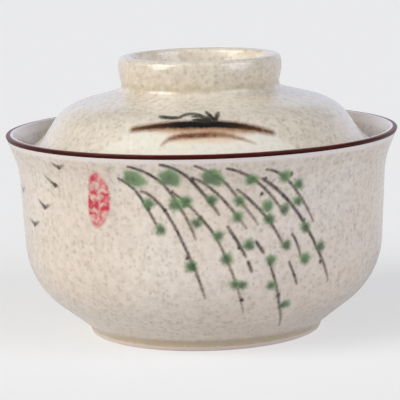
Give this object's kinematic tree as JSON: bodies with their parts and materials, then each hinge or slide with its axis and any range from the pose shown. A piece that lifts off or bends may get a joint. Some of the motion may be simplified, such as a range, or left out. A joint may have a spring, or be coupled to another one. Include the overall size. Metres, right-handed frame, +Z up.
{
  "type": "lidded noodle bowl",
  "caption": "Round footed noodle bowl with a flared lip, and a domed lid that drops into the lip and lifts off by its ring-shaped grip.",
  "frame": {"origin": "centre of the plane that the bowl's foot ring stands on", "axes": "+Z up along the axis that the bowl and the lid were thrown on; -Y is the decorated front"},
  "size_m": [0.1782, 0.1782, 0.1257],
  "materials": {
    "speckled_glaze": "cream stoneware under a clear gloss glaze with fine brown specks",
    "iron_glaze": "glossy dark brown iron glaze"
  },
  "bodies": {
    "bowl": {"bowl": "speckled_glaze", "rim_band": "iron_glaze"},
    "lid": {"lid": "speckled_glaze"}
  },
  "joints": [
    {"name": "lid_lift", "type": "slide", "parent": "bowl", "child": "lid", "axis": [0, 0, 1], "range_m": [0, 0.12]}
  ]
}
